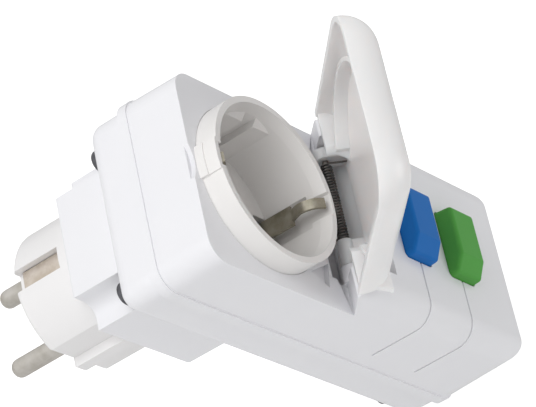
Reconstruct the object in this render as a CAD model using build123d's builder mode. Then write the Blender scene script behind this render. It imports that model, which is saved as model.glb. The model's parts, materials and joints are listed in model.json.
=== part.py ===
import os
from math import ceil, cos, pi, radians, sin, sqrt, tan

from build123d import *

os.makedirs("parts", exist_ok=True)

# Levels, each measured out from the wall face of the block, along -Y
rim_reach = 48.5
cut_drop = 5.8
face_rise = 3.3
seam_reach = 25.3
rear_reach = 14.5
cut_reach = rim_reach - cut_drop
face_reach = rim_reach + face_rise

# Housing outline at the seam, about the centre line of the socket
housing_width = 50.5
housing_top = 89.3
housing_bottom = 24.0
housing_corner = 5.5
housing_draft = 1.0
top_lean = 2.0
front_round = 6.0
wall = 2.0

# Joint lip and the back half
lip_proud = 0.35
lip_height = 2.7
back_inset = 0.85
back_round = 3.8
back_corner = 4.6

# Block behind the socket, with a screw channel at each lower corner
block_half_width = 19.8
block_half_height = 20.0
channel_side = 13.3
channel_top = 13.1
channel_round = 3.75
block_corner = 1.6
block_break = 0.8

# Socket insert
ring_outer = 21.3
ring_inner = 19.7
recess_inner = 19.2
recess_depth = 18.0
recess_floor = 1.6
flat_distance = 17.4
flat_drop = 3.2
flat_lead = 1.5
key_half_width = 2.0
slot_half_width = 4.3
slot_mouth_half_width = 3.0
slot_step_drop = 5.5
slot_bottom_radius = 20.5
slot_inner_edge = 14.2
contact_spacing = 19.0
contact_hole_radius = 2.75
clip_height = 16.5
clip_thickness = 0.8
clip_shoulder_drop = 8.8
clip_apex_drop = 5.5
clip_apex_height = 15.2
clip_tab_drop = 2.4
clip_end_drop = 0.8
clip_end_height = 18.8
clip_foot_width = 5.0
clip_spring_width = 2.6
clip_bend = 1.6
clip_curl = 3.5
latch_half_width = 4.1
latch_proud = 0.8
latch_top_drop = 3.5
latch_ramp_proud = 0.45
seat_gap = 0.1

# Plug
plug_length = 17.8
plug_radius = 18.4
plug_flat = 15.7
plug_rib_reach = 18.2
plug_rib_half_width = 1.75
plug_edge = 1.5
pin_radius = 2.4
pin_shank_radius = 2.2
pin_length = 18.9
pin_tip_round = 2.0
pin_shoulder_radius = 3.4
pin_shoulder_height = 1.5
pin_tail_level = 9.5
spigot_radius = 13.0
earth_width = 5.2
earth_thickness = 1.0
earth_outer = 16.3
earth_start = 3.3
earth_end = 16.3
earth_groove_half_width = 2.8
earth_edge = 0.4

# Hinge
hinge_height = 28.4
hinge_drop = 3.94
hinge_reach = rim_reach - hinge_drop
lid_open_angle = 44.0
hinge_pin_radius = 0.8
hinge_running_gap = 0.05
knuckle_radius = 2.4
knuckle_left = 12.9
trough_gap = 0.36
recess_left = -19.6
recess_right = 16.2
seat_foot_height = 28.0
seat_nose_height = 22.7
seat_nose_drop = 0.4
seat_face_height = 23.0
ridge_inner_x = 12.3
ridge_inner_height = 22.8
ridge_outer_x = 24.5
ridge_outer_height = 27.8
valley_depth = 1.2
pocket_depth = 1.3
pocket_corners = ((17.0, 14.2), (12.8, 22.1), (19.7, 20.5))

# Finger dip in the lower edge of the lid's seat
dip_half_width = 5.0
dip_rise = 1.4
dip_depth = 1.2

# Lid, drawn closed, about the hinge line
lid_half_width = 24.9
lid_end = 27.8
lid_wall = 1.4
lid_corner = 10.0
lid_round = 8.0
lid_rim_gap = 0.15
lid_sweep_radius = 9.2
heel_left = -19.0
heel_right = 15.2
heel_start_angle = -12.0
lip_outer = 22.9
lip_inner = 21.9
lip_tip_drop = 3.0
lid_floor_gap = 0.25
land_half_width = 13.0
land_height = 25.8
land_foot_height = 15.0
lug_thickness = 2.8
barrel_left = 5.8
barrel_right = 12.5
barrel_radius = 1.9
web_thickness = 1.8
lug_radius = 2.6

# Lid spring
spring_wire = 0.55
spring_radius = 1.45
spring_left = -15.1
spring_right = 5.4
spring_turns = 19
spring_leg = 4.2

# Buttons
button_width = 18.0
button_depth = 10.6
button_height = 4.6
button_taper = 4.0
button_corner = 1.2
button_edge = 1.1
button_gap = 0.25
button_end_slope_run = 4.5
button_end_slope_drop = 2.4
flange_margin = 1.2
flange_thickness = 1.2
flange_play = 0.2
button_travel = 2.2
test_height = 47.7
reset_height = 66.0
test_groove_height = 48.2
reset_groove_height = 65.6
groove_width = 0.7
groove_depth = 0.3
groove_end_reach = 32.5

# Screws and their posts
screw_radius = 1.5
screw_head_radius = 2.9
screw_head_height = 2.4
screw_head_round = 0.8
screw_clearance = 0.2
screw_grip = 7.0
screw_slot_width = 0.9
screw_slot_depth = 0.9
lower_screw_x = 17.6
lower_screw_height = -17.2
upper_screw_inset = 6.85
upper_screw_x = housing_width / 2 - upper_screw_inset
upper_screw_height = 79.5
post_radius = 2.9
boss_radius = 4.2
seat_bore_depth = 0.3
seat_bore_radius = 3.1

# Conductors and switch parts
bar_width = 4.0
bar_thickness = 0.8
supply_bar_top = 68.0
load_bar_top = 59.0
load_bar_level = 20.3
bridge_gap = 0.2
bridge_length = 12.5
bridge_thickness = 0.8
contact_pad_length = 4.0
sleeve_inner = 2.45
sleeve_wall = 0.8
sleeve_slot = 1.0
sleeve_floor_gap = 0.2
sleeve_end_level = 14.0
board_level = 31.0
board_thickness = 1.6
board_side_gap = 2.75
board_half_width = housing_width / 2 - wall - board_side_gap
board_bottom = 41.0
board_top = 84.0
plunger_width = 6.0
plunger_depth = 4.0
core_inner = 12.5
core_outer = 14.0
core_start = 3.8
core_length = 5.0
winding_thickness = 0.5
winding_gap = 0.05
winding_sweep = 120.0
coil_radius = 4.0
coil_core_radius = 1.6
coil_length = 16.0
coil_flange_radius = 4.9
coil_flange_thickness = 1.2
coil_height = 49.0
resistor_radius = 1.5
resistor_length = 8.0
resistor_rise = 8.3
resistor_height = test_height + resistor_rise
resistor_x = -8.0
resistor_round = 0.5
strip_width = 5.0
strip_thickness = 0.5
strip_rise = 2.2
strip_foot_drop = 4.0
strip_end_rise = 3.0
return_wire = 0.5
return_radius = 4.6
return_turns = 4

# Every cut runs past the face it opens by this much
overrun = 5.0
short_overrun = 1.0

# Shares that pick edges by direction
along_share = 0.9
half_share = 0.5
gap_samples = 8


def runs_out(edge):
    """True for an edge that runs nearly along Y."""
    return abs(edge.tangent_at(half_share).Y) > along_share


def housing_block(inset, reach):
    """Outline of the front half, drawn in by inset, from the seam out to reach."""
    half = housing_width / 2 - inset
    top = housing_top - inset
    bottom = inset - housing_bottom
    depth = reach - seam_reach
    front_half = half - depth * tan(radians(housing_draft))
    lean = top_lean / (face_reach - seam_reach)
    with BuildPart() as block:
        with BuildSketch(Plane.XZ.offset(seam_reach)):
            with Locations((0, (top + bottom) / 2)):
                Rectangle(2 * half, top - bottom)
        extrude(amount=depth, taper=housing_draft)
        with BuildSketch(Plane.YZ):
            with BuildLine():
                Polyline(
                    (-seam_reach, top),
                    (-reach - overrun, top - lean * (depth + overrun)),
                    (-reach - overrun, top + overrun),
                    (-seam_reach, top + overrun),
                    close=True,
                )
            make_face()
        extrude(amount=housing_width, both=True, mode=Mode.SUBTRACT)
        fillet(block.edges().filter_by(runs_out), radius=housing_corner - inset)
        with BuildSketch(Plane.XY.offset(bottom - overrun)) as section:
            with BuildLine():
                Polyline(
                    (half, -seam_reach),
                    (front_half, -reach),
                    (-front_half, -reach),
                    (-half, -seam_reach),
                    close=True,
                )
            make_face()
            fillet(section.vertices().group_by(Axis.Y)[0], radius=front_round - inset)
        extrude(amount=top - bottom + 2 * overrun, mode=Mode.INTERSECT)
    return block.part


def lid_seat(grow):
    """Space in front of the cut plane, where the lid lies, grown by grow."""
    with BuildPart() as seat:
        with BuildSketch(Plane.YZ):
            with BuildLine():
                Polyline(
                    (-cut_reach, -housing_bottom - overrun),
                    (-cut_reach, seat_foot_height),
                    (seat_nose_drop - rim_reach, seat_nose_height),
                    (-face_reach, seat_face_height),
                    (-face_reach - overrun, seat_face_height),
                    (-face_reach - overrun, -housing_bottom - overrun),
                    close=True,
                )
            make_face()
            if grow:
                offset(amount=grow, kind=Kind.INTERSECTION)
        extrude(amount=housing_width, both=True)
    return seat.part


heel_radius = hinge_drop + face_rise
trough_radius = heel_radius + trough_gap


def hinge_recess(grow):
    """Trough about the hinge line and the slot in front of it, grown by grow."""
    radius = trough_radius + grow
    left = recess_left - grow
    right = recess_right + grow
    start = seat_nose_height - seat_gap - grow
    with BuildPart() as recess:
        with BuildSketch(Plane.YZ.offset(left)):
            with Locations((-hinge_reach, hinge_height)):
                Circle(radius)
            with Locations((-hinge_reach, hinge_height)):
                Rectangle(face_reach - hinge_reach + overrun, 2 * radius, align=(Align.MAX, Align.CENTER))
        extrude(amount=right - left)
        with BuildSketch(Plane.XZ):
            with Locations(((left + right) / 2, start)):
                Rectangle(right - left, 2 * radius + overrun, align=(Align.CENTER, Align.MIN))
        extrude(amount=face_reach + 2 * overrun, mode=Mode.INTERSECT)
    return recess.part


def button_prism(margin, start_reach, end_reach, height):
    """Rounded prism of a button's outline plus margin, between two levels."""
    with BuildPart() as prism:
        with BuildSketch(Plane.XZ.offset(start_reach)):
            with Locations((0, height)):
                RectangleRounded(
                    button_width + 2 * margin,
                    button_depth + 2 * margin,
                    button_corner + margin,
                )
        extrude(amount=end_reach - start_reach)
    return prism.part


post_places = (
    (lower_screw_x, lower_screw_height),
    (-lower_screw_x, lower_screw_height),
    (upper_screw_x, upper_screw_height),
    (-upper_screw_x, upper_screw_height),
)

# Inside of the front half
with BuildPart() as cavity:
    add(housing_block(wall, face_reach - wall))
    add(lid_seat(wall), mode=Mode.SUBTRACT)
    add(hinge_recess(wall), mode=Mode.SUBTRACT)

# Cutter for the fine grooves: a slab less the inside of the skin
with BuildPart() as groove_cutter:
    for groove_height in (test_groove_height, reset_groove_height):
        with BuildSketch(Plane.XY.offset(groove_height - groove_width / 2)):
            with Locations((button_width / 2, -groove_end_reach)):
                Rectangle(housing_width, face_reach, align=(Align.MIN, Align.MAX))
        extrude(amount=groove_width)
    add(housing_block(groove_depth, face_reach - groove_depth), mode=Mode.SUBTRACT)

dip_radius = (dip_half_width ** 2 + dip_rise ** 2) / (2 * dip_rise)

# Front shell: skin, seat for the lid, hinge recess, button wells and posts
with BuildPart() as front_shell:
    add(housing_block(0, face_reach))
    with BuildSketch(Plane.XZ.offset(seam_reach)):
        with Locations((0, (housing_top - housing_bottom) / 2)):
            RectangleRounded(
                housing_width + 2 * lip_proud,
                housing_top + housing_bottom + 2 * lip_proud,
                housing_corner + lip_proud,
            )
    extrude(amount=lip_height)
    add(cavity.part, mode=Mode.SUBTRACT)
    for place in post_places:
        post_top = cut_reach - wall / 2 if place[1] < 0 else face_reach - wall / 2
        with BuildSketch(Plane.XZ.offset(seam_reach)):
            with Locations(place):
                Circle(post_radius)
        extrude(amount=post_top - seam_reach)
    add(lid_seat(0), mode=Mode.SUBTRACT)
    add(hinge_recess(0), mode=Mode.SUBTRACT)
    with BuildSketch(Plane.YZ.offset(knuckle_left)):
        with Locations((-hinge_reach, hinge_height)):
            Circle(knuckle_radius)
    extrude(amount=recess_right - knuckle_left + wall / 2)
    with BuildSketch(Plane.XZ.offset(cut_reach)):
        for side in (1, -1):
            with BuildLine():
                Polyline(
                    (side * ridge_inner_x, ridge_inner_height),
                    (side * ridge_outer_x, ridge_outer_height),
                    (side * ridge_inner_x, ridge_outer_height),
                    close=True,
                )
            make_face()
    extrude(amount=-valley_depth, mode=Mode.SUBTRACT)
    with BuildSketch(Plane.XZ.offset(cut_reach)):
        for side in (1, -1):
            with BuildLine():
                Polyline(*[(side * x, z) for x, z in pocket_corners], close=True)
            make_face()
    extrude(amount=-pocket_depth, mode=Mode.SUBTRACT)
    with BuildSketch(Plane.XZ.offset(cut_reach)):
        with Locations((0, dip_rise - dip_radius - housing_bottom)):
            Circle(dip_radius)
    extrude(amount=-dip_depth, mode=Mode.SUBTRACT)
    with BuildSketch(Plane.XZ.offset(seam_reach)):
        Circle(ring_outer + seat_gap)
    extrude(amount=face_reach - seam_reach + overrun, mode=Mode.SUBTRACT)
    with BuildSketch(Plane.YZ.offset(recess_left - wall)):
        with Locations((-hinge_reach, hinge_height)):
            Circle(hinge_pin_radius + hinge_running_gap)
    extrude(amount=recess_right - recess_left + 2 * wall, mode=Mode.SUBTRACT)
    for height in (test_height, reset_height):
        add(button_prism(button_gap, face_reach - 2 * wall, face_reach + overrun, height), mode=Mode.SUBTRACT)
    add(groove_cutter.part, mode=Mode.SUBTRACT)
    for place in post_places:
        with BuildSketch(Plane.XZ.offset(seam_reach)):
            with Locations(place):
                Circle(screw_radius + hinge_running_gap)
        extrude(amount=screw_grip + screw_radius, mode=Mode.SUBTRACT)
front_shell.part.label = "front_shell"
export_step(front_shell.part, "parts/front_shell.step")


def block_outline(inset):
    """Outline of the block, with its two screw channels, drawn in by inset."""
    half_width = block_half_width - inset
    half_height = block_half_height - inset
    channel_width = 2 * (block_half_width - channel_side)
    channel_height = 2 * (block_half_height - channel_top)
    with BuildSketch() as outline:
        RectangleRounded(2 * half_width, 2 * half_height, block_corner)
        for side in (1, -1):
            with Locations((side * (channel_side - inset), inset - channel_top)):
                RectangleRounded(
                    channel_width,
                    channel_height,
                    channel_round + inset,
                    align=(Align.MIN if side > 0 else Align.MAX, Align.MAX),
                    mode=Mode.SUBTRACT,
                )
    return outline.sketch


block_face = block_outline(0)
block_inside = block_outline(wall)

# Back shell: tray behind the joint, block behind the socket, screw bosses
back_half_width = housing_width / 2 - back_inset
back_height = housing_top + housing_bottom - 2 * back_inset
back_middle = (housing_top - housing_bottom) / 2
with BuildPart() as back_shell:
    with BuildSketch(Plane.XZ.offset(rear_reach)):
        with Locations((0, back_middle)):
            RectangleRounded(2 * back_half_width, back_height, back_corner)
    extrude(amount=seam_reach - rear_reach)
    fillet(back_shell.faces().sort_by(Axis.Y)[-1].edges(), radius=back_round)
    with BuildSketch(Plane.XZ):
        add(block_face)
    extrude(amount=rear_reach + wall / 2)
    fillet(back_shell.faces().sort_by(Axis.Y)[-1].edges(), radius=block_break)
    with BuildSketch(Plane.XZ.offset(rear_reach + wall)):
        with Locations((0, back_middle)):
            RectangleRounded(
                2 * (back_half_width - wall),
                back_height - 2 * wall,
                back_corner - wall,
            )
    extrude(amount=seam_reach - rear_reach, mode=Mode.SUBTRACT)
    with BuildSketch(Plane.XZ.offset(wall)):
        add(block_inside)
    extrude(amount=rear_reach + overrun, mode=Mode.SUBTRACT)
    with BuildSketch(Plane.XZ.offset(rear_reach + wall / 2)):
        with Locations(*post_places):
            Circle(boss_radius)
    extrude(amount=seam_reach - rear_reach - wall / 2)
    with BuildSketch(Plane.XZ.offset(rear_reach + wall)):
        with Locations(*post_places):
            Circle(boss_radius)
        with Locations((0, back_middle)):
            RectangleRounded(2 * back_half_width, back_height, back_corner, mode=Mode.INTERSECT)
    extrude(amount=seam_reach - rear_reach - wall)
    with BuildSketch(Plane.XZ):
        with Locations(*post_places):
            Circle(screw_radius + screw_clearance)
    extrude(amount=seam_reach + overrun, mode=Mode.SUBTRACT)
    with BuildSketch(Plane.XZ):
        with Locations(*post_places):
            Circle(seat_bore_radius)
    extrude(amount=rear_reach + seat_bore_depth, mode=Mode.SUBTRACT)
    with BuildSketch(Plane.XZ):
        Circle(spigot_radius + hinge_running_gap)
        with Locations((0, (earth_outer - earth_thickness / 2)), (0, -(earth_outer - earth_thickness / 2))):
            Rectangle(earth_width + 2 * seat_gap, earth_thickness + 2 * seat_gap)
    extrude(amount=wall, mode=Mode.SUBTRACT)
back_shell.part.label = "back_shell"
export_step(back_shell.part, "parts/back_shell.step")

# Housing screws, one group of four
with BuildPart() as housing_screws:
    with BuildSketch(Plane.XZ.offset(rear_reach + seat_bore_depth)):
        with Locations(*post_places):
            Circle(screw_head_radius)
    extrude(amount=-screw_head_height)
    fillet(housing_screws.faces().group_by(Axis.Y)[-1].edges(), radius=screw_head_round)
    with BuildSketch(Plane.XZ.offset(rear_reach + seat_bore_depth)):
        with Locations(*post_places):
            Circle(screw_radius)
    extrude(amount=seam_reach - rear_reach - seat_bore_depth + screw_grip)
    with BuildSketch(Plane.XZ.offset(rear_reach + seat_bore_depth - screw_head_height)):
        with Locations(*post_places):
            Rectangle(screw_radius * 2, screw_slot_width)
            Rectangle(screw_slot_width, screw_radius * 2)
    extrude(amount=screw_slot_depth, mode=Mode.SUBTRACT)
housing_screws.part.label = "housing_screws"
export_step(housing_screws.part, "parts/housing_screws.step")

# Socket insert: ring, recess with flats and key grooves, earth slots, contact holes
insert_reach = rim_reach - recess_depth - recess_floor
floor_reach = rim_reach - recess_depth
strap_level = insert_reach - clip_thickness
with BuildPart() as flat_lead_in:
    with BuildSketch(Plane.XZ.offset(rim_reach - flat_drop - flat_lead)):
        Rectangle(2 * flat_distance, 2 * recess_inner)
    with BuildSketch(Plane.XZ.offset(rim_reach - flat_drop)):
        Rectangle(2 * recess_inner, 2 * recess_inner)
    loft()
    with BuildSketch(Plane.XZ.offset(floor_reach)):
        Circle(recess_inner)
    extrude(amount=recess_depth, mode=Mode.INTERSECT)

with BuildPart() as socket_insert:
    with BuildSketch(Plane.XZ.offset(insert_reach)):
        Circle(ring_outer)
    extrude(amount=rim_reach - insert_reach)
    with BuildSketch(Plane.XZ.offset(rim_reach - flat_drop)):
        Circle(recess_inner)
    with BuildSketch(Plane.XZ.offset(rim_reach)):
        Circle(ring_inner)
    loft(mode=Mode.SUBTRACT)
    with BuildSketch(Plane.XZ.offset(floor_reach)):
        Circle(recess_inner)
        Rectangle(2 * flat_distance, 2 * recess_inner, mode=Mode.INTERSECT)
        with BuildSketch(mode=Mode.PRIVATE) as keys:
            Circle(recess_inner)
            Rectangle(2 * recess_inner, 2 * key_half_width, mode=Mode.INTERSECT)
        add(keys.sketch)
    extrude(amount=recess_depth - flat_drop + short_overrun, mode=Mode.SUBTRACT)
    add(flat_lead_in.part, mode=Mode.SUBTRACT)
    for side in (1, -1):
        with BuildSketch(Plane.XZ.offset(insert_reach)):
            with Locations((0, side * slot_inner_edge)):
                Rectangle(
                    2 * slot_half_width,
                    slot_bottom_radius - slot_inner_edge,
                    align=(Align.CENTER, Align.MIN if side > 0 else Align.MAX),
                )
        extrude(amount=rim_reach - slot_step_drop - insert_reach, mode=Mode.SUBTRACT)
        with BuildSketch(Plane.XZ.offset(insert_reach)):
            with Locations((0, side * slot_inner_edge)):
                Rectangle(
                    2 * slot_mouth_half_width,
                    slot_bottom_radius - slot_inner_edge,
                    align=(Align.CENTER, Align.MIN if side > 0 else Align.MAX),
                )
        extrude(amount=rim_reach - insert_reach + overrun, mode=Mode.SUBTRACT)
    with BuildSketch(Plane.XZ.offset(insert_reach)):
        with GridLocations(contact_spacing, 0, 2, 1):
            Circle(contact_hole_radius)
    extrude(amount=recess_floor + short_overrun, mode=Mode.SUBTRACT)
    with BuildSketch(Plane.XZ.offset(cut_reach)):
        with Locations((0, -ring_outer)):
            Rectangle(2 * latch_half_width, 2 * latch_proud)
        Circle(ring_outer + latch_proud, mode=Mode.INTERSECT)
        Circle(ring_outer - latch_proud, mode=Mode.SUBTRACT)
    extrude(amount=cut_drop - latch_top_drop)
    with BuildSketch(Plane.XZ.offset(rim_reach - latch_top_drop)):
        with Locations((0, -ring_outer)):
            Rectangle(2 * latch_half_width, 2 * latch_proud)
        Circle(ring_outer + latch_ramp_proud, mode=Mode.INTERSECT)
        Circle(ring_outer - latch_proud, mode=Mode.SUBTRACT)
    extrude(amount=latch_top_drop)
socket_insert.part.label = "socket_insert"
export_step(socket_insert.part, "parts/socket_insert.step")

# Plug body: round with two flats, key ribs and earth grooves, on a spigot
with BuildPart() as plug_body:
    with BuildSketch(Plane.XZ):
        Circle(plug_radius)
        Rectangle(2 * plug_flat, 2 * plug_radius, mode=Mode.INTERSECT)
        Rectangle(2 * plug_rib_reach, 2 * plug_rib_half_width)
        Circle(plug_radius, mode=Mode.INTERSECT)
    extrude(amount=-plug_length)
    fillet(plug_body.faces().sort_by(Axis.Y)[-1].edges(), radius=plug_edge)
    with BuildSketch(Plane.XZ):
        Circle(spigot_radius)
    extrude(amount=wall)
    groove_floor = earth_outer - earth_thickness
    for side in (1, -1):
        with BuildSketch(Plane.XZ.offset(-earth_start)):
            with Locations((0, side * groove_floor)):
                Rectangle(
                    2 * earth_groove_half_width,
                    plug_radius,
                    align=(Align.CENTER, Align.MIN if side > 0 else Align.MAX),
                )
        extrude(amount=-plug_length, mode=Mode.SUBTRACT)
        with BuildSketch(Plane.XZ):
            with Locations((0, side * (earth_outer - earth_thickness / 2))):
                Rectangle(earth_width + 2 * seat_gap, earth_thickness + 2 * seat_gap)
        extrude(amount=-earth_start, mode=Mode.SUBTRACT)
    with BuildSketch(Plane.XZ.offset(wall)):
        with GridLocations(contact_spacing, 0, 2, 1):
            Circle(pin_shank_radius + hinge_running_gap)
    extrude(amount=-plug_length - wall - overrun, mode=Mode.SUBTRACT)
plug_body.part.label = "plug_body"
export_step(plug_body.part, "parts/plug_body.step")


def plug_pin(name, side):
    """A round pin with its shoulder seated on the spigot and a tail inside."""
    with BuildPart() as pin:
        with BuildSketch(Plane.XZ.offset(pin_tail_level)):
            with Locations((side * contact_spacing / 2, 0)):
                Circle(pin_shank_radius)
        extrude(amount=-(pin_tail_level + plug_length))
        with BuildSketch(Plane.XZ.offset(-plug_length)):
            with Locations((side * contact_spacing / 2, 0)):
                Circle(pin_radius)
        extrude(amount=-pin_length)
        fillet(pin.faces().sort_by(Axis.Y)[-1].edges(), radius=pin_tip_round)
        with BuildSketch(Plane.XZ.offset(wall)):
            with Locations((side * contact_spacing / 2, 0)):
                Circle(pin_shoulder_radius)
        extrude(amount=pin_shoulder_height)
    pin.part.label = name
    export_step(pin.part, "parts/" + name + ".step")


def earth_strip(name, side):
    """A flat earth strip, from the plug's groove in to the earth bracket."""
    with BuildPart() as strip:
        with BuildSketch(Plane.XZ.offset(-earth_end)):
            with Locations((0, side * (earth_outer - earth_thickness / 2))):
                Rectangle(earth_width, earth_thickness)
        extrude(amount=earth_end + strap_level - clip_thickness / 2 - seat_gap)
        end_edges = strip.faces().sort_by(Axis.Y)[-1].edges().filter_by(Axis.X)
        fillet(end_edges, radius=earth_edge)
    strip.part.label = name
    export_step(strip.part, "parts/" + name + ".step")


plug_pin("plug_pin_right", 1)
plug_pin("plug_pin_left", -1)
earth_strip("plug_earth_strip_upper", 1)
earth_strip("plug_earth_strip_lower", -1)

# Earth bracket: a strap under the floor with a sprung clip standing at each end
with BuildPart() as socket_earth_bracket:
    for side in (1, -1):
        with BuildLine(Plane.YZ):
            foot = FilletPolyline(
                (-strap_level, 0),
                (-strap_level, side * clip_height),
                (clip_shoulder_drop - rim_reach, side * clip_height),
                radius=clip_bend,
            )
        with BuildSketch(Plane(origin=foot @ 0, x_dir=(1, 0, 0), z_dir=foot % 0)):
            Rectangle(clip_foot_width, clip_thickness)
        sweep(path=foot)
        with BuildLine(Plane.YZ):
            blade = FilletPolyline(
                (clip_shoulder_drop - rim_reach, side * clip_height),
                (clip_apex_drop - rim_reach, side * clip_apex_height),
                (clip_tab_drop - rim_reach, side * clip_height),
                (clip_end_drop - rim_reach, side * clip_end_height),
                radius=clip_curl,
            )
        with BuildSketch(Plane(origin=blade @ 0, x_dir=(1, 0, 0), z_dir=blade % 0)):
            Rectangle(clip_spring_width, clip_thickness)
        sweep(path=blade)
socket_earth_bracket.part.label = "socket_earth_bracket"
export_step(socket_earth_bracket.part, "parts/socket_earth_bracket.step")

# Lid, drawn on a plane that turns about the hinge line
hinge_origin = (0, -hinge_reach, hinge_height)
opening = radians(lid_open_angle)
lid_plane = Plane(origin=hinge_origin, x_dir=(1, 0, 0), z_dir=(0, -cos(opening), sin(opening)))
lid_side = Plane(origin=hinge_origin, x_dir=lid_plane.y_dir, z_dir=(1, 0, 0))
lid_rim_level = hinge_drop - cut_drop + lid_rim_gap
lid_inner_level = heel_radius - lid_wall
lid_length = lid_end + hinge_height
lid_floor_level = hinge_drop + lid_floor_gap


def lid_block(inset, low, high):
    """Outline of the lid, drawn in by inset, between two levels, with rounded top edges."""
    with BuildPart() as block:
        with BuildSketch(lid_plane.offset(low)):
            with Locations((0, 0)):
                RectangleRounded(
                    2 * (lid_half_width - inset),
                    2 * (lid_length - inset),
                    lid_corner - inset,
                )
        extrude(amount=high - low)
        top_face = block.faces().sort_by(Axis(hinge_origin, lid_plane.z_dir))[-1]
        fillet(top_face.edges(), radius=lid_round - inset)
    return block.part


with BuildPart() as lid_shell:
    add(lid_block(0, lid_rim_level, heel_radius))
    add(lid_block(lid_wall, lid_rim_level - overrun, lid_inner_level), mode=Mode.SUBTRACT)
    with BuildSketch(lid_side.offset(-lid_half_width + lid_wall / 2)):
        Circle(lid_sweep_radius + lid_wall)
        with Locations((-lid_length / 2, (lid_rim_level + heel_radius) / 2)):
            Rectangle(lid_length, heel_radius - lid_rim_level - lid_wall / 2, mode=Mode.INTERSECT)
    extrude(amount=2 * lid_half_width - lid_wall)
    with BuildSketch(lid_plane.offset(lid_rim_level)):
        with Locations((0, -hinge_height)):
            Circle(lip_outer)
    extrude(amount=lid_inner_level - lid_rim_level, mode=Mode.SUBTRACT)
    with BuildSketch(lid_side.offset(-lid_half_width - overrun)):
        Circle(lid_sweep_radius)
        with Locations((-overrun, 0)):
            Rectangle(2 * lid_length, 2 * lid_length, align=(Align.MIN, Align.CENTER))
    extrude(amount=2 * (lid_half_width + overrun), mode=Mode.SUBTRACT)
    heel_angle = radians(heel_start_angle)
    with BuildSketch(lid_side.offset(heel_left)):
        Circle(heel_radius)
        Circle(lid_inner_level, mode=Mode.SUBTRACT)
        with BuildLine():
            Polyline(
                (0, 0),
                (2 * heel_radius * cos(heel_angle), 2 * heel_radius * sin(heel_angle)),
                (2 * heel_radius, 2 * heel_radius),
                (0, 2 * heel_radius),
                close=True,
            )
        make_face(mode=Mode.INTERSECT)
        with Locations((0, lid_inner_level)):
            Rectangle(lid_sweep_radius, lid_wall, align=(Align.MAX, Align.MIN))
    extrude(amount=heel_right - heel_left)
    with BuildSketch(lid_plane.offset(hinge_drop - lip_tip_drop)):
        with Locations((0, -hinge_height)):
            Circle(lip_outer)
            Circle(lip_inner, mode=Mode.SUBTRACT)
        with Locations((0, land_foot_height - hinge_height)):
            Rectangle(2 * land_half_width, lip_outer, align=(Align.CENTER, Align.MIN), mode=Mode.SUBTRACT)
    extrude(amount=lid_inner_level + lid_wall / 2 - hinge_drop + lip_tip_drop)
    with BuildSketch(lid_plane.offset(lid_floor_level)):
        with Locations((0, -hinge_height)):
            Circle(lip_outer)
        with Locations((0, land_foot_height - hinge_height)):
            Rectangle(2 * land_half_width, land_height - land_foot_height, align=(Align.CENTER, Align.MIN))
    extrude(amount=lid_inner_level + lid_wall / 2 - lid_floor_level)
    with BuildSketch(lid_side.offset(heel_left)):
        Circle(lug_radius)
        Rectangle(2 * lug_radius, lid_inner_level + lid_wall / 2, align=(Align.CENTER, Align.MIN))
    extrude(amount=lug_thickness)
    with BuildSketch(lid_side.offset(barrel_left)):
        Circle(barrel_radius)
        Rectangle(web_thickness, lid_inner_level + lid_wall / 2, align=(Align.CENTER, Align.MIN))
    extrude(amount=barrel_right - barrel_left)
    with BuildSketch(lid_side.offset(heel_left - overrun)):
        Circle(hinge_pin_radius + hinge_running_gap)
    extrude(amount=heel_right - heel_left + 2 * overrun, mode=Mode.SUBTRACT)
lid_shell.part.label = "lid_shell"
export_step(lid_shell.part, "parts/lid_shell.step")

# Hinge pin, from the blind bore in one shoulder to the other
with BuildPart() as hinge_pin:
    with BuildSketch(Plane(origin=hinge_origin, z_dir=(1, 0, 0)).offset(recess_left - wall + seat_gap)):
        Circle(hinge_pin_radius)
    extrude(amount=recess_right - recess_left + 2 * wall - 2 * seat_gap)
hinge_pin.part.label = "hinge_pin"
export_step(hinge_pin.part, "parts/hinge_pin.step")


def coil_spring(name, frame, radius, wire, first_angle, last_angle, pitch, first_leg, last_leg):
    """A wound wire about the frame's Z axis, as one tube on biarcs with straight ends."""
    spans = ceil((last_angle - first_angle) / pi)
    step = (last_angle - first_angle) / spans
    rise = pitch / (2 * pi)

    def place(angle):
        return Vector(radius * cos(angle), radius * sin(angle), rise * (angle - first_angle))

    def heading(angle):
        return Vector(-radius * sin(angle), radius * cos(angle), rise).normalized()

    start, end = place(first_angle), place(last_angle)
    with BuildLine(Plane.XY) as route:
        Line(start - heading(first_angle) * first_leg, start)
        for span in range(spans):
            begin = first_angle + span * step
            p0, p1 = place(begin), place(begin + step)
            t0, t1 = heading(begin), heading(begin + step)
            chord, both = p1 - p0, t0 + t1
            a, b, c = both.dot(both) - 4, -2 * chord.dot(both), chord.dot(chord)
            reach = (-b - sqrt(b * b - 4 * a * c)) / (2 * a)
            q0, q1 = p0 + t0 * reach, p1 - t1 * reach
            middle = (q0 + q1) / 2
            TangentArc(p0, middle, tangent=t0)
            TangentArc(middle, p1, tangent=(q1 - q0).normalized())
        Line(end, end + heading(last_angle) * last_leg)
    path = frame.from_local_coords(route.line)
    with BuildPart() as spring:
        with BuildSketch(Plane(origin=path @ 0, z_dir=path % 0)):
            Circle(wire / 2)
        sweep(path=path)
    part = step / gap_samples
    nearby = (2 * pi - part, 2 * pi, 2 * pi + part)
    least = min(
        (place(count * part) - place(count * part + turn)).length
        for count in range(gap_samples)
        for turn in nearby
    )
    print(name, "least gap between turns", round(least - wire, 3))
    spring.part.label = name
    export_step(spring.part, "parts/" + name + ".step")


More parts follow.
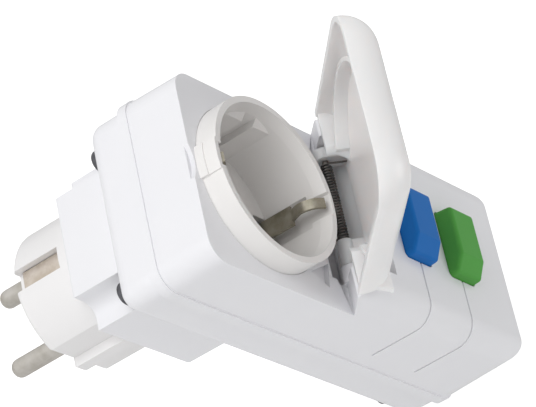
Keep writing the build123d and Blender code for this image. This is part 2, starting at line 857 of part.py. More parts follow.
spring_frame = Plane(origin=(spring_left, -hinge_reach, hinge_height), x_dir=(0, 1, 0), z_dir=(1, 0, 0))
spring_first_angle = -pi / 2 - opening
spring_last_angle = 2 * pi * spring_turns - pi / 2
coil_spring(
    "lid_spring",
    spring_frame,
    spring_radius,
    spring_wire,
    spring_first_angle,
    spring_last_angle,
    2 * pi * (spring_right - spring_left) / (spring_last_angle - spring_first_angle),
    lid_inner_level - spring_wire / 2 - seat_gap,
    spring_leg,
)

# Buttons: a bevelled cap, a straight skirt, a flange behind the wall and a stem
flange_level = face_reach - wall - flange_play
strip_top = board_level + board_thickness + strip_rise
pad_level = load_bar_level + bar_thickness
bridge_level = pad_level + bridge_gap + button_travel


def button(name, height, stem_end):
    """A rectangular push button with its stem, standing at the given height."""
    with BuildPart() as cap:
        with BuildSketch(Plane.XZ.offset(face_reach)):
            with Locations((0, height)):
                RectangleRounded(button_width, button_depth, button_corner)
        extrude(amount=button_height, taper=button_taper)
        slope_start = button_width / 2 - button_end_slope_run
        slope_end = button_width / 2 + overrun
        slope_fall = button_end_slope_drop * (1 + overrun / button_end_slope_run)
        with BuildSketch(Plane.XY.offset(height - button_depth)):
            with BuildLine():
                Polyline(
                    (slope_start, -face_reach - button_height),
                    (slope_end, -face_reach - button_height + slope_fall),
                    (slope_end, -face_reach - button_height - overrun),
                    (slope_start, -face_reach - button_height - overrun),
                    close=True,
                )
            make_face()
        extrude(amount=2 * button_depth, mode=Mode.SUBTRACT)
        crown = cap.faces().sort_by(Axis.Y)[:2].edges()
        fillet(list(set(crown)), radius=button_edge)
        with BuildSketch(Plane.XZ.offset(flange_level - flange_thickness)):
            with Locations((0, height)):
                RectangleRounded(button_width, button_depth, button_corner)
        extrude(amount=face_reach - flange_level + flange_thickness)
        with BuildSketch(Plane.XZ.offset(flange_level - flange_thickness)):
            with Locations((0, height)):
                RectangleRounded(
                    button_width + 2 * flange_margin,
                    button_depth + 2 * flange_margin,
                    button_corner,
                )
        extrude(amount=flange_thickness)
        with BuildSketch(Plane.XZ.offset(stem_end)):
            with Locations((0, height)):
                Rectangle(plunger_width, plunger_depth)
        extrude(amount=flange_level - stem_end)
    cap.part.label = name
    export_step(cap.part, "parts/" + name + ".step")


plunger_joint = board_level + board_thickness + button_travel + plunger_depth
button("test_button", test_height, strip_top + flange_play + button_travel)
button("reset_button", reset_height, plunger_joint)

return_turn = 2 * pi
for name, height in (("test_return_spring", test_height), ("reset_return_spring", reset_height)):
    board_face = board_level + board_thickness
    coil_room = flange_level - flange_thickness - board_face - 2 * return_wire
    coil_spring(
        name,
        Plane(origin=(0, -board_face - return_wire, height), x_dir=(1, 0, 0), z_dir=(0, -1, 0)),
        return_radius,
        return_wire,
        0,
        return_turns * return_turn,
        coil_room / return_turns,
        return_wire,
        return_wire,
    )

# Reset plunger: stem through the board and a crossbar that carries the moving contacts
crossbar_level = bridge_level + bridge_thickness
with BuildPart() as reset_plunger:
    with BuildSketch(Plane.XZ.offset(crossbar_level)):
        with Locations((0, reset_height)):
            Rectangle(contact_spacing + bar_width, plunger_depth)
    extrude(amount=2 * bridge_thickness)
    with BuildSketch(Plane.XZ.offset(crossbar_level)):
        with Locations((0, reset_height)):
            Rectangle(plunger_width, plunger_depth)
    extrude(amount=plunger_joint - crossbar_level)
reset_plunger.part.label = "reset_plunger"
export_step(reset_plunger.part, "parts/reset_plunger.step")

with BuildPart() as contact_bridges:
    with BuildSketch(Plane.XZ.offset(bridge_level)):
        with Locations((-contact_spacing / 2, supply_bar_top), (contact_spacing / 2, supply_bar_top)):
            Rectangle(bar_width, bridge_length, align=(Align.CENTER, Align.MAX))
    extrude(amount=bridge_thickness)
contact_bridges.part.label = "contact_bridges"
export_step(contact_bridges.part, "parts/contact_bridges.step")

# Supply bars, from the pin tails up to the switch
bar_level = rear_reach + wall + bar_thickness + seat_gap
bar_bend_height = block_half_height - 2 * wall
tail_middle = pin_tail_level + bar_thickness / 2


def supply_bar(name, side):
    """A bent bar from one pin tail to the fixed contact pad."""
    with BuildPart() as bar:
        with BuildLine(Plane.YZ.offset(side * contact_spacing / 2)):
            path = FilletPolyline(
                (-tail_middle, -pin_radius),
                (-tail_middle, bar_bend_height),
                (-bar_level, bar_bend_height),
                (-bar_level, supply_bar_top),
                radius=2 * bar_thickness,
            )
        with BuildSketch(Plane(origin=path @ 0, x_dir=(1, 0, 0), z_dir=path % 0)):
            Rectangle(bar_width, bar_thickness)
        sweep(path=path)
        with BuildSketch(Plane.XZ.offset(bar_level)):
            with Locations((side * contact_spacing / 2, supply_bar_top)):
                Rectangle(bar_width, contact_pad_length, align=(Align.CENTER, Align.MAX))
        extrude(amount=pad_level - bar_level)
    bar.part.label = name
    export_step(bar.part, "parts/" + name + ".step")


# Socket contacts: a slit sleeve behind each hole, and the load bar that reaches it
sleeve_outer = sleeve_inner + sleeve_wall


def socket_contact(name, side):
    """A sprung sleeve that grips a plug's pin, behind one contact hole."""
    with BuildPart() as sleeve:
        with BuildSketch(Plane.XZ.offset(sleeve_end_level)):
            with Locations((side * contact_spacing / 2, 0)):
                Circle(sleeve_outer)
                Circle(sleeve_inner, mode=Mode.SUBTRACT)
                Rectangle(sleeve_slot, 2 * sleeve_outer, align=(Align.CENTER, Align.MAX), mode=Mode.SUBTRACT)
        extrude(amount=insert_reach - sleeve_floor_gap - sleeve_end_level)
    sleeve.part.label = name
    export_step(sleeve.part, "parts/" + name + ".step")


def load_bar(name, side):
    """A flat bar from one sleeve up to the switch."""
    with BuildPart() as bar:
        with BuildSketch(Plane.XZ.offset(load_bar_level)):
            with Locations((side * contact_spacing / 2, sleeve_outer + seat_gap)):
                Rectangle(bar_width, load_bar_top - sleeve_outer - seat_gap, align=(Align.CENTER, Align.MIN))
        extrude(amount=bar_thickness)
    bar.part.label = name
    export_step(bar.part, "parts/" + name + ".step")


for word, side in (("right", 1), ("left", -1)):
    supply_bar("supply_bar_" + word, side)
    socket_contact("socket_contact_" + word, side)
    load_bar("load_bar_" + word, side)

# Sum transformer: a ring round both pin tails, with its winding on one side
with BuildPart() as transformer_core:
    with BuildSketch(Plane.XZ.offset(core_start)):
        Circle(core_outer)
        Circle(core_inner, mode=Mode.SUBTRACT)
    extrude(amount=core_length)
transformer_core.part.label = "transformer_core"
export_step(transformer_core.part, "parts/transformer_core.step")

# Winding of the transformer, a taped sleeve round the upper part of the ring
with BuildPart() as transformer_winding:
    with BuildSketch(Plane.XY) as sleeve_section:
        with Locations(((core_inner + core_outer) / 2, -core_start - core_length / 2)):
            Rectangle(
                core_outer - core_inner + 2 * winding_thickness,
                core_length + 2 * winding_thickness,
            )
            Rectangle(
                core_outer - core_inner + 2 * winding_gap,
                core_length + 2 * winding_gap,
                mode=Mode.SUBTRACT,
            )
    revolve(axis=Axis((0, 0, 0), (0, -1, 0)), revolution_arc=winding_sweep)
transformer_winding.part.label = "transformer_winding"
winding_turn = (180 - winding_sweep) / 2
winding_placed = transformer_winding.part.rotate(Axis((0, 0, 0), (0, -1, 0)), winding_turn)
winding_placed.label = "transformer_winding"
export_step(winding_placed, "parts/transformer_winding.step")

# Circuit board with the plunger's hole, standing on the posts' side
with BuildPart() as circuit_board:
    with BuildSketch(Plane.XZ.offset(board_level)):
        with Locations((0, (board_bottom + board_top) / 2)):
            Rectangle(2 * board_half_width, board_top - board_bottom)
        with Locations((0, reset_height)):
            Rectangle(plunger_width + wall, plunger_depth + wall, mode=Mode.SUBTRACT)
        with Locations(*post_places):
            Circle(post_radius + button_gap, mode=Mode.SUBTRACT)
    extrude(amount=board_thickness)
circuit_board.part.label = "circuit_board"
export_step(circuit_board.part, "parts/circuit_board.step")

# Trip coil on its bobbin, behind the board
coil_middle = board_level - coil_flange_radius - seat_gap
with BuildPart() as trip_bobbin:
    with BuildSketch(Plane.YZ.offset(-coil_length / 2 - coil_flange_thickness)):
        with Locations((-coil_middle, coil_height)):
            Circle(coil_flange_radius)
    extrude(amount=coil_flange_thickness)
    with BuildSketch(Plane.YZ.offset(coil_length / 2)):
        with Locations((-coil_middle, coil_height)):
            Circle(coil_flange_radius)
    extrude(amount=coil_flange_thickness)
    with BuildSketch(Plane.YZ.offset(-coil_length / 2 - coil_flange_thickness)):
        with Locations((-coil_middle, coil_height)):
            Circle(coil_core_radius)
    extrude(amount=coil_length + 2 * coil_flange_thickness)
trip_bobbin.part.label = "trip_bobbin"
export_step(trip_bobbin.part, "parts/trip_bobbin.step")

with BuildPart() as trip_coil:
    with BuildSketch(Plane.YZ.offset(seat_gap - coil_length / 2)):
        with Locations((-coil_middle, coil_height)):
            Circle(coil_radius)
            Circle(coil_core_radius + seat_gap, mode=Mode.SUBTRACT)
    extrude(amount=coil_length - 2 * seat_gap)
trip_coil.part.label = "trip_coil"
export_step(trip_coil.part, "parts/trip_coil.step")

# Test resistor and test contact strip, on the front of the board
board_face = board_level + board_thickness
with BuildPart() as test_resistor:
    with BuildSketch(Plane.YZ.offset(resistor_x - resistor_length / 2)):
        with Locations((-board_face - resistor_radius - seat_gap, resistor_height)):
            Circle(resistor_radius)
    extrude(amount=resistor_length)
    fillet(test_resistor.edges(), radius=resistor_round)
test_resistor.part.label = "test_resistor"
export_step(test_resistor.part, "parts/test_resistor.step")

with BuildPart() as test_contact_strip:
    with BuildLine(Plane.YZ):
        strip_path = FilletPolyline(
            (-board_face, test_height - strip_foot_drop),
            (-board_face - strip_rise + strip_thickness / 2, test_height - strip_foot_drop),
            (-board_face - strip_rise + strip_thickness / 2, test_height + strip_end_rise),
            radius=strip_thickness,
        )
    with BuildSketch(Plane(origin=strip_path @ 0, x_dir=(1, 0, 0), z_dir=strip_path % 0)):
        Rectangle(strip_width, strip_thickness)
    sweep(path=strip_path)
test_contact_strip.part.label = "test_contact_strip"
export_step(test_contact_strip.part, "parts/test_contact_strip.step")
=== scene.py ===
import json
import math

import bpy
from mathutils import Matrix, Vector


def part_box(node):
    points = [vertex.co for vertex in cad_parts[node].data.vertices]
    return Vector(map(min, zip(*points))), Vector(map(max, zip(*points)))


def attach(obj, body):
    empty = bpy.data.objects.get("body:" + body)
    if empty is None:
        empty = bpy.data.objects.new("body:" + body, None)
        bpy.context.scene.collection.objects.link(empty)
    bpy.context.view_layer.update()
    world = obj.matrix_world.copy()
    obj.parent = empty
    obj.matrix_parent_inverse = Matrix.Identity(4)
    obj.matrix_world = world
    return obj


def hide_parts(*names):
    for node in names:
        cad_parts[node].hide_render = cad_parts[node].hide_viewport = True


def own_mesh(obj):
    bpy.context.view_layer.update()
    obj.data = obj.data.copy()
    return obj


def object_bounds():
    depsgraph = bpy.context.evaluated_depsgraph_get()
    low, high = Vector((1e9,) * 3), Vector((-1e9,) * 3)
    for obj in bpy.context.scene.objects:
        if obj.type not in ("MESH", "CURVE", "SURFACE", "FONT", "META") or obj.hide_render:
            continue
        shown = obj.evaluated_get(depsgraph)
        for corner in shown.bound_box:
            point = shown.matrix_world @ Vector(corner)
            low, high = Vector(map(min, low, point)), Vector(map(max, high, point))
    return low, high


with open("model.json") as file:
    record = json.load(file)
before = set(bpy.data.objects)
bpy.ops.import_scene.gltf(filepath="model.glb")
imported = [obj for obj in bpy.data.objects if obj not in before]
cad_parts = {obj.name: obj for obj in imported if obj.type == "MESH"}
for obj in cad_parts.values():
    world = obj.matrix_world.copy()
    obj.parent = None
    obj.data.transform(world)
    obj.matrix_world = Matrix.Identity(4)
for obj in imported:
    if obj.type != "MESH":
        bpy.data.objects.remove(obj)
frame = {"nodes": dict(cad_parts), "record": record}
CAD_LOW, CAD_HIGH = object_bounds()

MM = 0.001
WHITE = (1.0, 1.0, 1.0, 1.0)

# Camera of the photograph, fitted to the plug, the ring and the housing's edges
CAMERA_PLACE = Vector((0.3004, -0.3336, -0.4473))
CAMERA_RIGHT = Vector((0.1949, -0.7599, 0.6201)).normalized()
CAMERA_FORWARD = Vector((-0.4857, 0.4745, 0.7342)).normalized()
CAMERA_LENS = 180.4
SENSOR_WIDTH = 36.0
CLIP_START = 0.01
CLIP_END = 20.0


def view_basis():
    """Right, up and back of the photograph's view, as three square unit vectors."""
    back = -CAMERA_FORWARD
    up = back.cross(CAMERA_RIGHT).normalized()
    right = up.cross(back).normalized()
    return right, up, back


RIGHT, UP, BACK = view_basis()


def aim(obj, place, right, up, back):
    """Puts an object at a place with the given axes as its X, Y and Z."""
    turn = Matrix((right, up, back)).transposed().to_4x4()
    obj.matrix_world = Matrix.Translation(place) @ turn


def make_camera():
    """The photograph's camera, with its lens and frame."""
    data = bpy.data.cameras.new("photo_camera")
    data.sensor_fit = "HORIZONTAL"
    data.sensor_width = SENSOR_WIDTH
    data.lens = CAMERA_LENS
    data.clip_start = CLIP_START
    data.clip_end = CLIP_END
    camera = bpy.data.objects.new("photo_camera", data)
    bpy.context.scene.collection.objects.link(camera)
    aim(camera, CAMERA_PLACE, RIGHT, UP, BACK)
    bpy.context.scene.camera = camera


make_camera()


# Node helpers for the materials
def new_material(name):
    """A node material, its tree and its shader."""
    material = bpy.data.materials.new(name)
    material.use_nodes = True
    tree = material.node_tree
    return material, tree, tree.nodes["Principled BSDF"]


def add_node(tree, kind, **values):
    """Adds a node and sets its inputs by name, with spaces written as underscores."""
    node = tree.nodes.new(kind)
    for key, value in values.items():
        node.inputs[key.replace("_", " ")].default_value = value
    return node


def noise(tree, scale, detail=3.0, rough=0.5):
    """Noise over the object's own space, in metres."""
    place = tree.nodes.new("ShaderNodeTexCoord")
    node = add_node(tree, "ShaderNodeTexNoise", Scale=scale, Detail=detail, Roughness=rough)
    tree.links.new(place.outputs["Object"], node.inputs["Vector"])
    return node.outputs["Fac"]


def ramp(tree, source, low, high, start=0.0, end=1.0):
    """Maps a value to a range between two numbers."""
    node = add_node(tree, "ShaderNodeMapRange")
    node.inputs["From Min"].default_value = start
    node.inputs["From Max"].default_value = end
    node.inputs["To Min"].default_value = low
    node.inputs["To Max"].default_value = high
    tree.links.new(source, node.inputs["Value"])
    return node.outputs["Result"]


def blend_colours(tree, factor, first, second):
    """A colour between two, by a factor socket."""
    node = tree.nodes.new("ShaderNodeMix")
    node.data_type = "RGBA"
    node.inputs["A"].default_value = (*first, 1.0)
    node.inputs["B"].default_value = (*second, 1.0)
    tree.links.new(factor, node.inputs["Factor"])
    return node.outputs["Result"]


def add_bump(tree, shader, heights, distance, strength):
    """Bumps the shader by a height socket."""
    node = add_node(tree, "ShaderNodeBump", Strength=strength, Distance=distance)
    tree.links.new(heights, node.inputs["Height"])
    tree.links.new(node.outputs["Normal"], shader.inputs["Normal"])


# Moulded plastic: sizes of its marks, how far its gloss varies, its grain and its clear skin
FLOW_SCALE = 55.0
SMEAR_SCALE = 160.0
SMOOTHER = 0.04
DULLER = 0.08
GRAIN_SCALE = 1400.0
GRAIN_HEIGHT = 0.01 * MM
GRAIN_STRENGTH = 0.25
PLASTIC_IOR = 1.5
SKIN_ROUGHNESS = 0.14
DEPTH_SHARES = (1.0, 0.85, 0.8)
DEPTH_REACH = 4 * MM


def moulded_plastic(name, colour, shade, rough, specular=0.5, coat=0.3, depth=0.0):
    """Moulded plastic: faint flow marks, fine grain, a gloss that varies and a thin clear skin."""
    material, tree, shader = new_material(name)
    flow = noise(tree, FLOW_SCALE, 2.0)
    tint = blend_colours(tree, flow, colour, shade)
    tree.links.new(tint, shader.inputs["Base Color"])
    smear = noise(tree, SMEAR_SCALE, 4.0, 0.6)
    gloss = ramp(tree, smear, rough - SMOOTHER, rough + DULLER)
    tree.links.new(gloss, shader.inputs["Roughness"])
    add_bump(tree, shader, noise(tree, GRAIN_SCALE, 4.0, 0.6), GRAIN_HEIGHT, GRAIN_STRENGTH)
    shader.inputs["IOR"].default_value = PLASTIC_IOR
    shader.inputs["Specular IOR Level"].default_value = specular
    shader.inputs["Coat Weight"].default_value = coat
    shader.inputs["Coat Roughness"].default_value = SKIN_ROUGHNESS
    shader.inputs["Subsurface Weight"].default_value = depth
    shader.inputs["Subsurface Radius"].default_value = DEPTH_SHARES
    shader.inputs["Subsurface Scale"].default_value = DEPTH_REACH
    return material


# Bare metal: sizes of its drawn marks and dull patches, and how far its gloss varies
MARK_SCALE = 900.0
PATCH_SCALE = 240.0
PATCH_START = 0.35
PATCH_END = 0.7
BRIGHTER = 0.05
TARNISH = 0.16
MARK_HEIGHT = 0.02 * MM
MARK_STRENGTH = 0.4


def metal(name, colour, shade, rough, stretch):
    """Bare metal with drawn marks along one axis, dull patches and a little tarnish."""
    material, tree, shader = new_material(name)
    place = tree.nodes.new("ShaderNodeTexCoord")
    mapping = tree.nodes.new("ShaderNodeMapping")
    mapping.inputs["Scale"].default_value = stretch
    tree.links.new(place.outputs["Object"], mapping.inputs["Vector"])
    marks = add_node(tree, "ShaderNodeTexNoise", Scale=MARK_SCALE, Detail=4.0)
    tree.links.new(mapping.outputs["Vector"], marks.inputs["Vector"])
    patches = ramp(tree, noise(tree, PATCH_SCALE, 4.0, 0.6), 0.0, 1.0, PATCH_START, PATCH_END)
    tint = blend_colours(tree, patches, colour, shade)
    tree.links.new(tint, shader.inputs["Base Color"])
    gloss = ramp(tree, marks.outputs["Fac"], rough - BRIGHTER, rough + TARNISH)
    tree.links.new(gloss, shader.inputs["Roughness"])
    add_bump(tree, shader, marks.outputs["Fac"], MARK_HEIGHT, MARK_STRENGTH)
    shader.inputs["Metallic"].default_value = 1.0
    return material


# Plastics: main tone, the shade that it varies to and roughness. Metals: main tone, tarnished
# tone, roughness and how the marks are stretched
SHELL_WHITE = moulded_plastic("shell_white", (0.83, 0.83, 0.85), (0.80, 0.80, 0.83), 0.36)
LID_WHITE = moulded_plastic("lid_white", (0.86, 0.84, 0.835), (0.84, 0.82, 0.815), 0.34, depth=0.8)
INSERT_WHITE = moulded_plastic("insert_white", (0.84, 0.825, 0.81), (0.81, 0.795, 0.78), 0.36)
PLUG_WHITE = moulded_plastic("plug_white", (0.83, 0.82, 0.82), (0.80, 0.79, 0.79), 0.38)
BUTTON_BLUE = moulded_plastic(
    "button_blue", (0.008, 0.16, 0.52), (0.006, 0.14, 0.47), 0.45, specular=0.15, coat=0.0
)
BUTTON_GREEN = moulded_plastic(
    "button_green", (0.09, 0.37, 0.065), (0.08, 0.33, 0.055), 0.45, specular=0.15, coat=0.0
)
INNER_GREY = moulded_plastic("inner_grey", (0.06, 0.06, 0.065), (0.05, 0.05, 0.05), 0.5)
BOARD_GREEN = moulded_plastic("board_green", (0.01, 0.09, 0.03), (0.01, 0.07, 0.03), 0.45)
RESISTOR_TAN = moulded_plastic("resistor_tan", (0.35, 0.24, 0.12), (0.3, 0.2, 0.1), 0.4)
CORE_DARK = moulded_plastic("core_dark", (0.02, 0.02, 0.022), (0.015, 0.015, 0.015), 0.5)
NICKEL = metal("nickel", (0.55, 0.525, 0.49), (0.42, 0.395, 0.35), 0.34, (1.0, 0.12, 1.0))
CLIP_NICKEL = metal("clip_nickel", (0.40, 0.375, 0.31), (0.24, 0.225, 0.17), 0.36, (1.0, 0.15, 1.0))
STRIP_NICKEL = metal("strip_nickel", (0.66, 0.60, 0.54), (0.50, 0.43, 0.35), 0.36, (1.0, 0.12, 1.0))
ZINC = metal("zinc", (0.16, 0.16, 0.17), (0.08, 0.08, 0.09), 0.36, (1.0, 1.0, 1.0))
SPRING_DARK = metal("spring_dark", (0.20, 0.19, 0.18), (0.10, 0.095, 0.09), 0.34, (1.0, 1.0, 1.0))
PIN_STEEL = metal("pin_steel", (0.30, 0.29, 0.27), (0.20, 0.19, 0.17), 0.34, (0.1, 1.0, 1.0))
COPPER = metal("copper", (0.5, 0.2, 0.08), (0.4, 0.16, 0.06), 0.36, (0.1, 1.0, 1.0))
SILVER = metal("silver", (0.7, 0.7, 0.68), (0.6, 0.6, 0.58), 0.34, (1.0, 1.0, 1.0))

SLOT_MATERIALS = {
    "white_plastic": SHELL_WHITE,
    "lid_plastic": LID_WHITE,
    "zinc_steel": ZINC,
    "nickel": NICKEL,
    "nickel_brass": CLIP_NICKEL,
    "brass": STRIP_NICKEL,
    "core_iron": CORE_DARK,
    "board_laminate": BOARD_GREEN,
    "coil_copper": COPPER,
    "inner_plastic": INNER_GREY,
    "resistor_body": RESISTOR_TAN,
    "spring_steel": SPRING_DARK,
    "blue_plastic": BUTTON_BLUE,
    "green_plastic": BUTTON_GREEN,
    "contact_silver": SILVER,
}
OWN_MATERIALS = {"socket_insert": INSERT_WHITE, "plug_body": PLUG_WHITE, "hinge_pin": PIN_STEEL}


def dress_nodes():
    """Gives every CAD node the material of its slot, or its own where it has one."""
    slots = {entry["node"]: entry["material_slot"] for entry in frame["record"]["subparts"]}
    for name, node in frame["nodes"].items():
        node.data.materials.clear()
        node.data.materials.append(OWN_MATERIALS.get(name, SLOT_MATERIALS[slots[name]]))


dress_nodes()

# Springs: points in each turn of a wound wire
COIL_STEPS = 20


def wound_spring(name, node, points, wire):
    """A round wire through the points, in place of a spring of the CAD model."""
    curve = bpy.data.curves.new(name, "CURVE")
    curve.dimensions = "3D"
    curve.bevel_depth = wire / 2
    curve.bevel_resolution = 2
    curve.use_fill_caps = True
    spline = curve.splines.new("POLY")
    spline.points.add(len(points) - 1)
    for place, point in zip(spline.points, points):
        place.co = (*point, 1.0)
    guide = bpy.data.objects.new(name + "_guide", curve)
    bpy.context.scene.collection.objects.link(guide)
    bpy.context.view_layer.update()
    graph = bpy.context.evaluated_depsgraph_get()
    mesh = bpy.data.meshes.new_from_object(guide.evaluated_get(graph))
    bpy.data.objects.remove(guide)
    for face in mesh.polygons:
        face.use_smooth = True
    mesh.materials.clear()
    mesh.materials.append(SPRING_DARK)
    spring = bpy.data.objects.new(name, mesh)
    bpy.context.scene.collection.objects.link(spring)
    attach(spring, "housing")
    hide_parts(node)
    return spring


# Lid: its hinge line and how far it is open at rest
HINGE = Vector((0.0, -44.56, 28.4)) * MM
LID_OPEN = math.radians(44.0)

# Lid shell: where the sealing lip's disc stands out of the rounded long edges, it is brought flush
LID_ALONG = Vector((0.0, math.sin(LID_OPEN), math.cos(LID_OPEN)))
LID_OUT = Vector((0.0, -math.cos(LID_OPEN), math.sin(LID_OPEN)))
LID_TOP = 7.24 * MM
LID_HALF_WIDTH = 24.9 * MM
LID_ROUND = 8.0 * MM
LIP_MIDDLE = -28.4 * MM
LIP_REACH = 15.0 * MM
FLUSH_MARGIN = 0.02 * MM


def lid_round_surface(offset):
    """The rounded edge's height along LID_OUT at an offset from the hinge, and its normal."""
    past = abs(offset.x) - (LID_HALF_WIDTH - LID_ROUND)
    if past <= 0 or past >= LID_ROUND or abs(offset.dot(LID_ALONG) - LIP_MIDDLE) > LIP_REACH:
        return None
    rise = math.sqrt(LID_ROUND ** 2 - past ** 2)
    side = Vector((math.copysign(1.0, offset.x), 0.0, 0.0))
    return LID_TOP - LID_ROUND + rise, (side * past + LID_OUT * rise).normalized()


def make_lid_shell():
    """The CAD lid's shell as a mesh of its own, with its long edges evenly rounded."""
    source = frame["nodes"]["lid_shell"]
    mesh = source.data.copy()
    mesh.name = "lid_shell_flush"
    normals = [Vector(corner.vector) for corner in mesh.corner_normals]
    moved = set()
    for vertex in mesh.vertices:
        offset = vertex.co - HINGE
        edge = lid_round_surface(offset)
        if edge is None:
            continue
        proud = offset.dot(LID_OUT) - edge[0]
        if proud > FLUSH_MARGIN:
            vertex.co -= LID_OUT * proud
            moved.add(vertex.index)
    for face in mesh.polygons:
        if moved.isdisjoint(face.vertices):
            continue
        for loop in face.loop_indices:
            offset = mesh.vertices[mesh.loops[loop].vertex_index].co - HINGE
            edge = lid_round_surface(offset)
            if edge is not None:
                normals[loop] = edge[1]
    mesh.normals_split_custom_set(normals)
    shell = bpy.data.objects.new("lid_shell_flush", mesh)
    bpy.context.scene.collection.objects.link(shell)
    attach(shell, "lid")
    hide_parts("lid_shell")


make_lid_shell()

# Lid spring, wound close as the photograph shows it
LID_COIL_RADIUS = 1.2 * MM
LID_COIL_WIRE = 0.5 * MM
LID_COIL_LEFT = -15.1 * MM
LID_COIL_RIGHT = 5.2 * MM
LID_COIL_TURNS = 26
LID_LEG = 5.45 * MM
HOUSING_LEG = 4.2 * MM


def make_lid_spring():
    """Close turns about the hinge line, with a straight leg to the lid and one to the housing."""
    first = -math.pi / 2 - LID_OPEN
    last = 2 * math.pi * LID_COIL_TURNS - math.pi / 2
    count = LID_COIL_TURNS * COIL_STEPS

    def place(angle):
        along = LID_COIL_LEFT + (LID_COIL_RIGHT - LID_COIL_LEFT) * (angle - first) / (last - first)
        across = LID_COIL_RADIUS * math.cos(angle)
        up = LID_COIL_RADIUS * math.sin(angle)
        return HINGE + Vector((along, across, up))

    def heading(angle):
        return Vector((0.0, -math.sin(angle), math.cos(angle)))

    points = [place(first) - heading(first) * LID_LEG]
    points += [place(first + (last - first) * i / count) for i in range(count + 1)]
    points.append(place(last) + heading(last) * HOUSING_LEG)
    wound_spring("lid_spring_wound", "lid_spring", points, LID_COIL_WIRE)


make_lid_spring()

# Return springs, wound as the CAD model has them
RETURN_WIRE = 0.5 * MM
RETURN_TURNS = 4


def make_return_spring(button):
    """A coil between the board and the button's flange."""
    node = button + "_return_spring"
    low, high = (Vector(corner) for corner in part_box(node))
    middle = (low + high) / 2
    radius = (high.x - low.x - RETURN_WIRE) / 2
    board = high.y - RETURN_WIRE / 2
    rise = high.y - low.y - RETURN_WIRE
    count = RETURN_TURNS * COIL_STEPS
    points = []
    for i in range(count + 1):
        angle = 2 * math.pi * i / COIL_STEPS
        points.append(Vector((
            middle.x + radius * math.cos(angle),
            board - rise * i / count,
            middle.z - radius * math.sin(angle),
        )))
    spring = wound_spring(node + "_wound", node, points, RETURN_WIRE)
    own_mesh(spring)


for button in ("test", "reset"):
    make_return_spring(button)


# Light: a broad key from below the socket's end, two weaker lamps and a pale world
def area_light(name, place, target, size, power):
    """A square lamp that faces a target."""
    data = bpy.data.lights.new(name, "AREA")
    data.shape = "SQUARE"
    data.size = size
    data.energy = power
    lamp = bpy.data.objects.new(name, data)
    bpy.context.scene.collection.objects.link(lamp)
    turn = (target - place).normalized().to_track_quat("-Z", "Y")
    lamp.matrix_world = Matrix.Translation(place) @ turn.to_matrix().to_4x4()


MIDDLE = (CAD_LOW + CAD_HIGH) / 2
FRONT = Vector((0.0, -1.0, 0.0))
LOWER = Vector((0.0, 0.0, -1.0))
NEAR = Vector((1.0, 0.0, 0.0))

# Lamps: name, place from the part's middle, side in metres and power in watts
LAMPS = (
    ("key_light", LOWER * 0.8 + FRONT * 0.16, 0.5, 3.7),
    ("side_light", RIGHT * 0.7 + FRONT * 0.25, 0.5, 1.5),
    ("low_light", NEAR * 0.7 + FRONT * 0.15 + LOWER * 0.15, 0.4, 0.6),
)
for lamp_name, lamp_place, lamp_size, lamp_power in LAMPS:
    area_light(lamp_name, MIDDLE + lamp_place, MIDDLE, lamp_size, lamp_power)

SKY_STRENGTH = 0.47
SEEN_STRENGTH = 1.0


def make_world():
    """A pale world that lights softly and shows white to the camera and in reflections."""
    world = bpy.data.worlds.new("pale_world")
    world.use_nodes = True
    tree = world.node_tree
    background = tree.nodes["Background"]
    path = tree.nodes.new("ShaderNodeLightPath")
    seen = path.outputs["Is Camera Ray"]
    for ray in ("Is Glossy Ray", "Is Transmission Ray"):
        either = tree.nodes.new("ShaderNodeMath")
        either.operation = "MAXIMUM"
        tree.links.new(seen, either.inputs[0])
        tree.links.new(path.outputs[ray], either.inputs[1])
        seen = either.outputs["Value"]
    strength = ramp(tree, seen, SKY_STRENGTH, SEEN_STRENGTH)
    background.inputs["Color"].default_value = WHITE
    tree.links.new(strength, background.inputs["Strength"])
    bpy.context.scene.world = world


make_world()


# Floor: lean of the sheet in the view, its gap under the part, half its side and its paper
FLOOR_NORMAL = (BACK * 0.55 + UP * 0.83).normalized()
FLOOR_GAP = 2 * MM
FLOOR_HALF = 1.6
PAPER_TONES = (0.93, 0.93, 0.93), (0.91, 0.91, 0.91)
PAPER_SCALE = 30.0
PAPER_ROUGHNESS = 0.9
PAPER_GLOW = 0.55


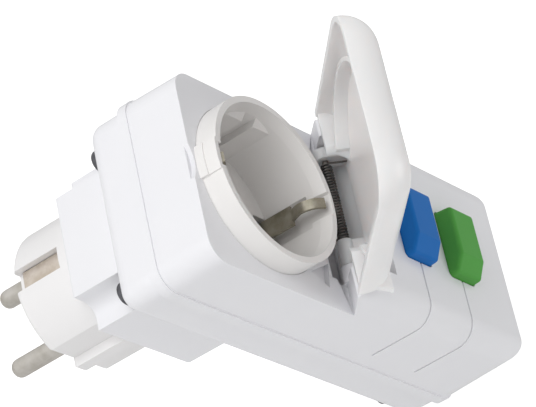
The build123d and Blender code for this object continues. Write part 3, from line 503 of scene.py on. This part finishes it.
def floor_corners():
    """The sheet's four corners, just under the lowest corner of the part's box."""
    across = FLOOR_NORMAL.cross(RIGHT).normalized()
    box = [
        Vector((x, y, z))
        for x in (CAD_LOW.x, CAD_HIGH.x)
        for y in (CAD_LOW.y, CAD_HIGH.y)
        for z in (CAD_LOW.z, CAD_HIGH.z)
    ]
    level = min(corner.dot(FLOOR_NORMAL) for corner in box) - FLOOR_GAP
    centre = MIDDLE + FLOOR_NORMAL * (level - MIDDLE.dot(FLOOR_NORMAL))
    turns = ((-1, -1), (1, -1), (1, 1), (-1, 1))
    return [centre + RIGHT * a * FLOOR_HALF + across * b * FLOOR_HALF for a, b in turns]


def floor_paper():
    """Pale paper, a little brighter to the camera, and clear where it is seen from its back."""
    material, tree, shader = new_material("floor_paper")
    tint = blend_colours(tree, noise(tree, PAPER_SCALE), *PAPER_TONES)
    tree.links.new(tint, shader.inputs["Base Color"])
    shader.inputs["Roughness"].default_value = PAPER_ROUGHNESS
    path = tree.nodes.new("ShaderNodeLightPath")
    glow = ramp(tree, path.outputs["Is Camera Ray"], 0.0, PAPER_GLOW)
    tree.links.new(glow, shader.inputs["Emission Strength"])
    shader.inputs["Emission Color"].default_value = WHITE
    face = tree.nodes.new("ShaderNodeNewGeometry")
    clear = tree.nodes.new("ShaderNodeBsdfTransparent")
    either = tree.nodes.new("ShaderNodeMixShader")
    tree.links.new(face.outputs["Backfacing"], either.inputs[0])
    tree.links.new(shader.outputs["BSDF"], either.inputs[1])
    tree.links.new(clear.outputs["BSDF"], either.inputs[2])
    tree.links.new(either.outputs["Shader"], tree.nodes["Material Output"].inputs["Surface"])
    return material


def make_floor():
    """A plain pale sheet behind and below the part, as the camera sees it."""
    mesh = bpy.data.meshes.new("floor")
    mesh.from_pydata(floor_corners(), [], [(0, 1, 2, 3)])
    floor = bpy.data.objects.new("floor", mesh)
    bpy.context.scene.collection.objects.link(floor)
    mesh.materials.append(floor_paper())


make_floor()

bpy.context.scene.view_settings.view_transform = "Standard"
